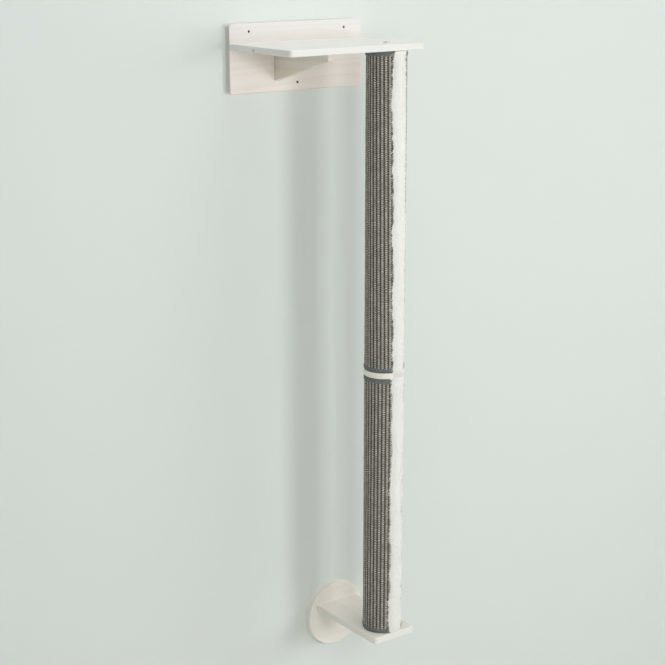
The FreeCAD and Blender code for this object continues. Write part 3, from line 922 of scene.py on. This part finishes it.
    def build_mat(self) -> bpy.types.Object:
        """Builds the ribbed mat.

        With s in ribs round the post and t in stitches up it, the radius is the valley's plus the larger of a
        cord and a stitch. A cord is a half ellipse across rib k, times
        0.4 + 0.6 sqrt |sin(pi (t + s / 4 + 0.618 k))|, which leans a little as twisted strands do. A stitch
        is a narrower half ellipse in the valley times |sin(pi (t + 1/2))|. A slow noise in t makes the
        stitches uneven.

        Returns:
            The mat.
        """
        edges = np.array((self.notch_half, 2 * math.pi - self.notch_half))
        start, end = (edges - self.first_rib) / self.rib_turn
        pattern = np.arange(-1, self.ribs + 1)[:, None] + np.array(self.rib_columns)
        s = np.concatenate(([start], pattern[(pattern > start) & (pattern < end)], [end]))
        angle = self.first_rib + s * self.rib_turn
        rows = self.stitch_rows * round((self.head - self.foot) / self.stitch) + 1
        z = np.linspace(self.foot, self.head, rows)[:, None]
        t = (z - self.foot) / self.stitch + self.stitch_drift * waves(self.rng, (s, z), self.drift_length)
        local = s - np.floor(s) - 0.5
        cord = np.sqrt(np.clip(1 - (local / self.cord_half) ** 2, 0, 1))
        strand = np.abs(np.sin(np.pi * (t + WovenCord.lean * local + WovenCord.rib_step * np.floor(s))))
        cord = cord * (self.cord_base + (1 - self.cord_base) * np.sqrt(strand))
        cord = cord * (self.mat_radius - self.valley_radius)
        dark = np.sqrt(np.clip(1 - ((np.abs(local) - 0.5) / self.stitch_half) ** 2, 0, 1))
        dark = dark * np.abs(np.sin(np.pi * (t + 0.5))) * self.stitch_height
        drift = self.unevenness * waves(self.rng, (s * self.rib_width, z), (self.uneven_length,) * 2)
        radius = self.valley_radius + np.maximum(cord, dark) + drift - self.drawn_in(z)
        shell = Shell("weave")
        places = np.stack(np.broadcast_arrays(s, t), axis=-1)
        outer = shell.add(self.on_post(angle, radius, z), places)
        inner = shell.add(self.on_post(angle, self.mat_inner, z[[0, -1]]), places[[0, -1]])
        self._close(shell, outer, inner)
        return shell.write(f"{self.name}_mat_weave")

    @staticmethod
    def _close(shell: Shell, outer: np.ndarray, inner: np.ndarray) -> None:
        """Skins a wall whose inner side has only its first and last row.

        Args:
            shell: Where the faces go.
            outer: Rows of point numbers on the outer side, upwards, with angles growing along a row.
            inner: The two rows of the inner side.
        """
        shell.skin(outer, flip=True)
        shell.skin(inner)
        shell.skin(np.stack((inner[0], outer[0])), flip=True)
        shell.skin(np.stack((outer[-1], inner[1])), flip=True)
        for column, flip in ((0, False), (-1, True)):
            rim = np.append(outer[:, column], inner[1, column])
            shell.fan(inner[0, column], rim, flip)

    def build_tape(self, end: End) -> bpy.types.Object:
        """Builds one binding: a rounded flat profile carried round the mat.

        The outer face bulges as a flat arc and dips at the row of stitches, where it also ripples with them.
        The free edge reaches further between the ribs than on them.

        Args:
            end: Which end of the segment it binds.

        Returns:
            The tape.
        """
        finish = BindingWeave()
        edges = (self.notch_half, 2 * math.pi - self.notch_half)
        angle = np.linspace(*edges, self.tape_columns)[:, None]
        # Places across the tape in millimetres, closer together where its two edges are rounded.
        across = np.concatenate(([0, 0.15, 0.5], np.linspace(1.2, 9.8, 18), [10.5, 10.85, 11])) * MM
        share = across / self.tape_width
        bulge = np.sqrt(np.clip(1 - np.abs(2 * share - 1) ** 6, 0, 1))
        arc = angle * self.tape_outer / MM
        ripple = 0.5 + 0.5 * np.cos(2 * np.pi * arc / finish.seam_pitch)
        flat, deep = self.seam_dip
        dip = np.exp(-(((across / MM - finish.seam_at) / self.seam_half) ** 2)) * (flat + deep * ripple) * MM
        valley = 0.5 + 0.5 * np.cos(2 * np.pi * (angle - self.first_rib) / self.rib_turn)
        ragged = self.tape_tongue * valley + self.tape_fray * waves(self.rng, (angle,), (0.3,))
        rise = self.tape_width - across + ragged * (1 - share) ** 2
        heights = self.foot + rise if end is End.FOOT else self.head - rise
        base = self.mat_radius - self.tape_sunk - self.drawn_in(heights)
        top = base + (self.tape_outer - self.mat_radius) * bulge - dip
        top = top + self.tape_stir * waves(self.rng, (angle, across), (0.25, 30 * MM))
        top = np.maximum(top, base)
        shell = Shell("tape")
        places = np.stack(np.broadcast_arrays(arc, across / MM), axis=-1)
        outer = shell.add(self.on_post(angle, top, heights), places)
        under = self.on_post(angle, base - self.tape_under, heights)
        inner = shell.add(under[:, [0, -1]], places[:, [0, -1]])
        upwards = end is End.HEAD
        shell.skin(outer, flip=not upwards)
        shell.skin(inner, flip=upwards)
        for column in (0, -1):
            sides = np.stack((outer[:, column], inner[:, column]), axis=1)
            shell.skin(sides, flip=(column == -1) != upwards)
        for row in (0, -1):
            rim = np.append(outer[row], inner[row, -1])
            shell.fan(inner[row, 0], rim, flip=(row == 0) != upwards)
        return shell.write(f"{self.name}_{end.value}_tape_band")

    def edge_reach(self, z: np.ndarray) -> tuple[np.ndarray, np.ndarray]:
        """How far the fluff reaches round the post to the right and to the left at each height.

        Each edge is the mat's edge plus a share of the longest reach, which is its own share plus a slow
        and a quick noise, plus what the strip's two ends change.

        Args:
            z: Heights.

        Returns:
            The turns to the two edges from the strip's middle.
        """
        below, above = self.head - z, z - self.foot
        right = self.head_edges.right(below) + self.foot_edges.right(above)
        left = self.head_edges.left(below) + self.foot_edges.left(above)
        edges = []
        for side, change in enumerate((right, left)):
            rng = np.random.default_rng((self.seed, side))
            share = self.edge_shares[side]
            for size, length in self.fluff_waves:
                share = share + size * (waves(rng, (z,), (length,), 16) * 0.5)
            edges.append(self.notch_half + np.clip(share, *self.fluff_limits) * self.fluff_reach + change)
        return edges[0], edges[1]

    def pile_radius(self, across: np.ndarray, z: np.ndarray) -> np.ndarray:
        """Radius of the pile's outer side.

        It falls from the crown to the flap as the fourth power of the place across, and tufts stir it.

        Args:
            across: Place across the strip, from -1 to 1.
            z: Heights.

        Returns:
            The radius at each point.
        """
        rng = np.random.default_rng((self.seed, 7))
        tufts = waves(rng, (across * self.plush_width / 2, z), self.tuft_size, 40)
        fall = (self.plush_radius - self.flap_radius - self.flap_pile) * np.abs(across) ** 4
        return self.plush_radius - fall + self.tuft_height * tufts

    def strip_angle(self, across: np.ndarray, z: np.ndarray) -> np.ndarray:
        """Turn from the strip's middle at a place across it and a height."""
        right, left = self.edge_reach(z)
        return np.where(across < 0, across * right, across * left)

    def build_plush(self) -> bpy.types.Object:
        """Builds the plush cloth: a core in the mat's gap, and two flaps of pile on the mat's edges.

        Returns:
            The cloth.
        """
        rows, columns = self.cloth_grid
        across = self.cloth_share * np.sin(np.linspace(-np.pi / 2, np.pi / 2, columns))
        z = np.linspace(self.foot + self.cloth_margin, self.head - self.cloth_margin, rows)[:, None]
        angle = self.strip_angle(across, z)
        in_gap = np.abs(angle) < self.notch_half - self.notch_margin
        inner_radius = np.where(in_gap, self.plush_inner, self.flap_radius)
        shell = Shell("pile")
        own = self.rng.uniform(0, 1, angle.shape)
        outer, inner = (
            shell.add(self.on_post(angle, radius, z), np.stack((own, np.full_like(own, rise)), axis=-1))
            for radius, rise in ((self.pile_radius(across, z), 0.5), (inner_radius, 0.0))
        )
        shell.skin(outer, flip=True)
        shell.skin(inner)
        for row in (0, -1):
            shell.skin(np.stack((outer[row], inner[row])), flip=row == -1)
        for column in (0, -1):
            sides = np.stack((outer[:, column], inner[:, column]), axis=1)
            shell.skin(sides, flip=column == -1)
        return shell.write(f"{self.name}_plush_cloth")

    def build_pile(self) -> bpy.types.Object:
        """Builds the fibres: narrow bent blades of two steps that stand on the pile's outer side in tufts.

        A blade leans with its tuft, downwards and, near an edge, outwards. Its points are
        root + length (q lean + (q - q^2 / 2) rise normal) for q of 0, 1/2 and 1. The last blades are a fringe
        at the free end, which lies over the ring.

        Returns:
            The pile.
        """
        rng = np.random.default_rng((self.seed, 11))
        blades = self.fibres
        count = blades.pile + blades.fringe
        fringe = np.arange(count) >= blades.pile
        to_ring = -1 if self.free_end is End.FOOT else 1
        across = rng.uniform(-1, 1, count)
        across = np.sign(across) * np.abs(across) ** blades.crowding
        z = rng.uniform(self.foot + blades.margin * MM, self.head - blades.margin * MM, count)
        at_end = rng.uniform(*blades.fringe_root, count) * MM
        z = np.where(fringe, self.foot + at_end if to_ring < 0 else self.head - at_end, z)
        angle = self.strip_angle(across, z)
        turn = self.turn(angle, z)
        nothing = np.zeros(count)
        normal = np.stack((np.cos(turn), np.sin(turn), nothing), axis=-1)
        side = np.stack((-np.sin(turn), np.cos(turn), nothing), axis=-1)
        up = np.stack((nothing, nothing, nothing + 1), axis=-1)
        places = (angle * self.plush_radius, z - self.foot)
        tuft = sum(np.floor(at / (size * MM)) * step
                   for at, size, step in zip(places, blades.tuft, blades.tuft_steps))
        kinds = rng.normal(0, 1, (3, blades.tuft_kinds))
        aside, aloft, vigour = kinds[:, tuft.astype(int) % blades.tuft_kinds]
        edge = 1 - blades.edge_from
        near_edge = np.clip(np.abs(across) - blades.edge_from, 0, edge) / edge
        growth = np.where(across < 0, *self.edge_growth) + blades.length_swing * vigour
        length = rng.uniform(*blades.length, count) * MM * (1 + near_edge * growth)
        length = np.where(fringe, rng.uniform(*blades.fringe_length, count) * MM, length)
        lean_side = np.sign(across) * near_edge * blades.outwards + blades.sideways * aside
        lean_side = lean_side + rng.normal(0, blades.own_lean, count)
        lean_side = np.where(fringe, blades.fringe_spread, 1.0) * lean_side
        lean_up = -blades.droop + blades.sway * aloft + rng.normal(0, blades.own_lean, count)
        lean_up = np.where(fringe, to_ring * blades.fringe_lean, lean_up)
        lean = lean_side[:, None] * side + lean_up[:, None] * up
        rise = np.where(fringe, self.fringe_rise, blades.rise * (1 - blades.edge_rise * near_edge))[:, None]
        root = self.on_post(angle, self.pile_radius(across, z) - blades.sunk * MM, z)
        # Steps along a blade: its root, its middle and its tip.
        q = np.array((0.0, 0.5, 1.0))[:, None, None]
        spine = root + length[:, None] * (q * lean + (q - q ** 2 / 2) * rise * normal)
        low, high = (-np.inf, self.head) if to_ring < 0 else (self.foot, np.inf)
        spine[..., 2] = np.clip(spine[..., 2], low + blades.clear * MM, high - blades.clear * MM)
        spin = rng.uniform(0, np.pi, count)[:, None]
        flat = np.cos(spin) * side + np.sin(spin) * normal * 0.3 + 0.2 * up
        half = rng.uniform(*blades.half_width, count)[:, None] * MM
        own = rng.uniform(0, 1, count)
        return self._write_blades(spine, half * flat, own, fringe)

    def _write_blades(self, spine: np.ndarray, flat: np.ndarray, own: np.ndarray,
                      fringe: np.ndarray) -> bpy.types.Object:
        """Writes each blade as a quad and a triangle; the fringe has the tone of its tips all along, painted
        light that keeps it bright over the ring.

        Args:
            spine: Root, middle and tip of each blade.
            flat: Half of each blade's width, as a vector.
            own: Random number of each blade.
            fringe: Whether each blade belongs to the fringe.

        Returns:
            The pile.
        """
        shell = Shell("pile")
        # Roots and middles take the painted root shade; the fringe is painted light, at tip tone all along.
        rows = [
            shell.add(spine[i] + sign * width * flat, np.stack((own, np.where(fringe, 1.0, tone)), axis=-1))
            for i, width, tone in ((0, 1.0, 0.3), (1, 0.8, 0.7)) for sign in (-1, 1)
        ]
        tip = shell.add(spine[2], np.stack((own, np.ones_like(own)), axis=-1))
        shell.quads.append(np.stack((rows[0], rows[1], rows[3], rows[2]), axis=-1))
        shell.triangles.append(np.stack((rows[2], rows[3], tip), axis=-1))
        return shell.write(f"{self.name}_plush_pile")


PLATE_WASH = {"pale": srgb(229, 226, 223), "deep": srgb(220, 213, 205), "pore": srgb(206, 197, 187)}
SHELF_WASH = {"pale": srgb(236, 235, 231), "deep": srgb(226, 221, 213), "pore": srgb(210, 203, 193)}
LOWER_WASH = {"pale": srgb(243, 238, 230), "deep": srgb(232, 225, 215), "pore": srgb(216, 206, 194)}
# A darker, warmer copy of the wash for the brace: painted shade under the shelf.
SHADED_BRACE_WASH = {"pale": srgb(236, 229, 219), "deep": srgb(224, 213, 198), "pore": srgb(206, 193, 176)}
CREAM = {"pale": srgb(250, 247, 236), "deep": srgb(236, 228, 210), "pore": srgb(214, 202, 178)}
PINE = {"pale": srgb(226, 200, 158), "deep": srgb(198, 160, 112), "pore": srgb(160, 120, 78)}
BEECH = {"pale": srgb(214, 184, 148), "deep": srgb(190, 154, 116), "pore": srgb(150, 112, 78)}
BARE_PINE = Wood(**PINE, grain=Grain.ALONG_Z)
BARE_BEECH = Wood(**BEECH, grain=Grain.ALONG_Y)


@dataclass
class Boards:
    """The white boards of both wall brackets, with their screws and dowels."""

    knot: tuple[float, float, float] = (-200 * MM, -123 * MM, 29.3 * MM)
    # Painted shade on the plate's end faces and the brace's nose, painted light on the arm's front end.
    plate_end_painted_shade: Colour = srgb(204, 206, 198)
    # Painted warm bounce light on the plate below the shelf.
    plate_painted_bounce: Colour = srgb(239, 230, 222)
    nose_painted_shade: Colour = srgb(214, 207, 197)
    arm_end_painted_light: Colour = srgb(238, 238, 230)

    @staticmethod
    def depth(node: str) -> tuple[float, float]:
        """Where a board starts and ends in depth."""
        low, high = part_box(node)
        return low.y, high.y

    @staticmethod
    def wall_holes() -> tuple[tuple[float, float], ...]:
        """Takes the plate's wall holes from the record's mounts.

        Returns:
            The holes' places as x and z.
        """
        mounts = {mount["name"]: mount for mount in frame["record"]["mounts"]}
        pair, single = mounts["upper_wall_holes"], mounts["middle_wall_hole"]
        (x, _, z), half = pair["pos_m"], pair["dims"]["spacing_x_mm"] / 2 * MM
        return (x - half, z), (x + half, z), (single["pos_m"][0], single["pos_m"][2])

    def dress(self) -> None:
        """Gives each board a whitewashed finish along its own grain, with painted shade and painted light on
        some faces.
        """
        low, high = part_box("top_shelf")
        ends = (low.x, high.x)
        rows = {
            "upper_wall_plate": Wood(**PLATE_WASH, grain=Grain.ALONG_X, holes=self.wall_holes(), ends=ends,
                                     painted_end_shading=self.plate_end_painted_shade, painted_bounce_tone=self.plate_painted_bounce, painted_bounce_top=high.z),
            "top_shelf": Wood(**SHELF_WASH, grain=Grain.ALONG_X, knot=self.knot, ends=ends),
            "shelf_brace": Wood(**SHADED_BRACE_WASH, grain=Grain.ALONG_Y, band_share=0.8, joint=high.y,
                                ends=self.depth("shelf_brace"), painted_end_shading=self.nose_painted_shade),
            "lower_arm": Wood(**LOWER_WASH, grain=Grain.ALONG_Y, ends=self.depth("lower_arm"),
                              painted_end_shading=self.arm_end_painted_light),
            "lower_wall_disc": Wood(**LOWER_WASH, grain=Grain.ALONG_X),
        }
        for board in ("shelf", "brace", "arm"):
            rows[f"{board}_screws"] = PlatedSteel()
            rows[f"{board}_dowels"] = BARE_BEECH
        for node, finish in rows.items():
            finish.dress(frame["nodes"][node])
            LOG.info("dressed %s", node)


@dataclass
class PostFittings:
    """The ring between the segments, and the bolts, washers, nuts and stud that clamp the post."""

    steel: tuple[str, ...] = (
        "top_bolt", "top_washer", "foot_bolt", "foot_washer", "joining_stud", "plug_nuts",
    )

    def dress(self) -> None:
        """Gives the ring a cream wood and the rest a plated steel."""
        Wood(**CREAM, grain=Grain.ALONG_X).dress(frame["nodes"]["middle_ring"])
        for node in self.steel:
            PlatedSteel().dress(frame["nodes"][node])
            LOG.info("dressed %s", node)


class Lamp(Enum):
    """Soft lamps: place, target, width, height and power."""

    KEY = ((1.6, -4.2, -0.1), (0.0, 0.0, -0.2), 1.0, 1.4, 48.0)
    WASH = ((3.6, -2.4, 0.2), (0.0, 0.0, -0.5), 1.6, 1.6, 26.0)
    FILL = ((-0.8, -3.4, 0.3), (0.0, 0.0, -0.1), 1.4, 1.2, 30.0)
    TOP = ((0.0, -0.7, 3.0), (0.0, -0.2, 0.0), 2.4, 1.0, 36.0)
    BACK = ((-1.2, 4.0, 0.6), (0.0, 0.0, -0.7), 2.2, 2.2, 60.0)


@dataclass
class Studio:
    """The wall, the floor, the lamps, the world and the camera."""

    wall_tone: Colour = srgb(225, 231, 226)
    floor_tone: Colour = srgb(236, 236, 232)
    sky: float = 0.3
    sky_tone: Colour = (1.0, 0.98, 0.955)
    lamp_tone: Colour = (0.985, 1.0, 1.01)
    sky_lean: tuple[float, float, float] = (0.2, 0.0, 0.1)
    reach: float = 7.0
    floor_height: float = -2.4
    wall_gap: float = 0.8 * MM
    near: float = 3 * MM
    fade: tuple[float, float] = (1.0, 3.5)
    camera_at: tuple[float, float, float] = (-2.287, -3.291, 0.340)
    camera_yaw: float = 36.2
    camera_pitch: float = 14.78
    lens: float = 85.77
    sensor: float = 36.0

    def build(self) -> None:
        """Builds the stage, the lamps, the world and the camera."""
        r, y, z = self.reach, self.wall_gap, self.floor_height
        wall = ((-r, y, z), (r, y, z), (r, y, r), (-r, y, r))
        floor = ((-r, -r, z), (r, -r, z), (r, r, z), (-r, r, z))
        self._plane("wall", wall, self.wall_tone, False)
        self._plane("floor", floor, self.floor_tone, True)
        for lamp in Lamp:
            self._lamp(lamp)
        self._world()
        self._camera()

    @staticmethod
    def _seen(graph: Graph) -> Signal:
        """Tells the rays that show the backdrop: the camera's, glossy and transmitted ones.

        Args:
            graph: Nodes of the material or world.

        Returns:
            1 for such rays and 0 for the rest.
        """
        path = graph.node("ShaderNodeLightPath").outputs
        seen = Signal(graph, path["Is Camera Ray"]).largest(Signal(graph, path["Is Glossy Ray"]))
        return seen.largest(Signal(graph, path["Is Transmission Ray"]))

    def _plane(self, name: str, corners: Sequence[Sequence[float]], tone: Colour, fades: bool) -> None:
        """Builds one side of the stage, which shows only from its front.

        Rays that start close to it pass through, so that the boards' backs are lit when they are looked at.

        Args:
            name: Name of the plane.
            corners: Its four corners, in order, seen from the front.
            tone: Its colour.
            fades: Whether it turns into the backdrop further out.
        """
        mesh = bpy.data.meshes.new(name)
        mesh.from_pydata([tuple(c) for c in corners], [], [(0, 1, 2, 3)])
        plane = bpy.data.objects.new(name, mesh)
        bpy.context.scene.collection.objects.link(plane)
        made = bpy.data.materials.new(name)
        graph = Graph(made)
        matt = graph.node("ShaderNodeBsdfDiffuse", inputs={"Color": (*tone, 1.0)})
        clear = graph.node("ShaderNodeBsdfTransparent")
        behind = graph.signal("ShaderNodeNewGeometry", output="Backfacing")
        length = graph.signal("ShaderNodeLightPath", output="Ray Length")
        near = length.ramp(self.near, 2 * self.near, 1.0, 0.0)
        shown = matt
        if fades:
            x, y, _ = graph.split(graph.place())
            share = ((x ** 2.0 + y ** 2.0) ** 0.5).ramp(*self.fade) * self._seen(graph)
            backdrop = graph.node("ShaderNodeEmission", inputs={"Color": (*self.wall_tone, 1.0)})
            shaders = {0: share, 1: matt.outputs[0], 2: backdrop.outputs[0]}
            shown = graph.node("ShaderNodeMixShader", inputs=shaders)
        shaders = {0: behind.largest(near), 1: shown.outputs[0], 2: clear.outputs[0]}
        mixed = graph.node("ShaderNodeMixShader", inputs=shaders)
        graph.surface(mixed.outputs[0])
        mesh.materials.append(made)

    def _lamp(self, lamp: Lamp) -> None:
        """Builds one area lamp.

        Args:
            lamp: Which one.
        """
        place, target, width, height, power = lamp.value
        data = bpy.data.lights.new(lamp.name.lower(), "AREA")
        data.shape, data.size, data.size_y, data.energy = "RECTANGLE", width, height, power
        data.color = self.lamp_tone
        made = bpy.data.objects.new(lamp.name.lower(), data)
        way = np.array(target) - np.array(place)
        tilt = math.acos(-way[2] / np.linalg.norm(way))
        made.location = place
        made.rotation_euler = (tilt, 0, math.atan2(way[1], way[0]) - math.pi / 2)
        bpy.context.scene.collection.objects.link(made)

    def _world(self) -> None:
        """Lights the object from all round, more from the right and above, and shows a pale backdrop."""
        world = bpy.data.worlds.new("studio")
        bpy.context.scene.world = world
        graph = Graph(world)
        way = graph.split(graph.node("ShaderNodeTexCoord").outputs["Generated"])
        strength = sum((part * lean for part, lean in zip(way, self.sky_lean)), 1.0) * self.sky
        light, shown = (
            graph.node("ShaderNodeBackground", inputs={"Color": (*tone, 1), "Strength": power})
            for tone, power in ((self.sky_tone, strength), (self.wall_tone, 1.0))
        )
        shaders = {0: self._seen(graph), 1: light.outputs[0], 2: shown.outputs[0]}
        mixed = graph.node("ShaderNodeMixShader", inputs=shaders)
        graph.surface(mixed.outputs[0], "World")

    def _camera(self) -> None:
        """Sets the camera at the photograph's view, a plain look, and noise removal that keeps the weave."""
        data = bpy.data.cameras.new("camera")
        data.lens, data.sensor_width = self.lens, self.sensor
        made = bpy.data.objects.new("camera", data)
        made.location = self.camera_at
        made.rotation_euler = (math.radians(90 - self.camera_pitch), 0, math.radians(-self.camera_yaw))
        bpy.context.scene.collection.objects.link(made)
        bpy.context.scene.camera = made
        bpy.context.scene.view_settings.view_transform = "Standard"
        bpy.context.scene.cycles.denoising_prefilter = "NONE"


def main() -> None:
    """Builds and dresses the sub-assemblies in order, then the studio."""
    logging.basicConfig(level=logging.INFO, format="%(name)s: %(message)s")
    segments = (
        PostSegment(
            "upper", facing=math.radians(-85), free_end=End.FOOT, seed=3, twist=math.radians(9),
            edge_shares=(0.47, 0.04), edge_growth=(0.9, 0.2),
            head_edges=StripEnd(corner=math.radians(7), flare=math.radians(1.5), draw_at=14 * MM),
            foot_edges=StripEnd(corner_reach=6 * MM, flare=math.radians(2), draw_at=5 * MM),
        ),
        PostSegment(
            "lower", facing=math.radians(-79), free_end=End.HEAD, seed=5, rib_shift=math.radians(-3.75),
            fringe_rise=-0.08,
            head_edges=StripEnd(corner=math.radians(-3.5), corner_reach=7 * MM),
            foot_edges=StripEnd(corner_reach=3 * MM, flare=math.radians(1.5), draw=math.radians(9),
                                draw_at=6 * MM),
        ),
    )
    for segment in segments:
        segment.build()
        segment.dress()
        for piece in segment.pieces:
            LOG.info("built %s with %d faces", piece.name, len(piece.data.polygons))
    Boards().dress()
    PostFittings().dress()
    Studio().build()


if __name__ == "__main__":
    main()
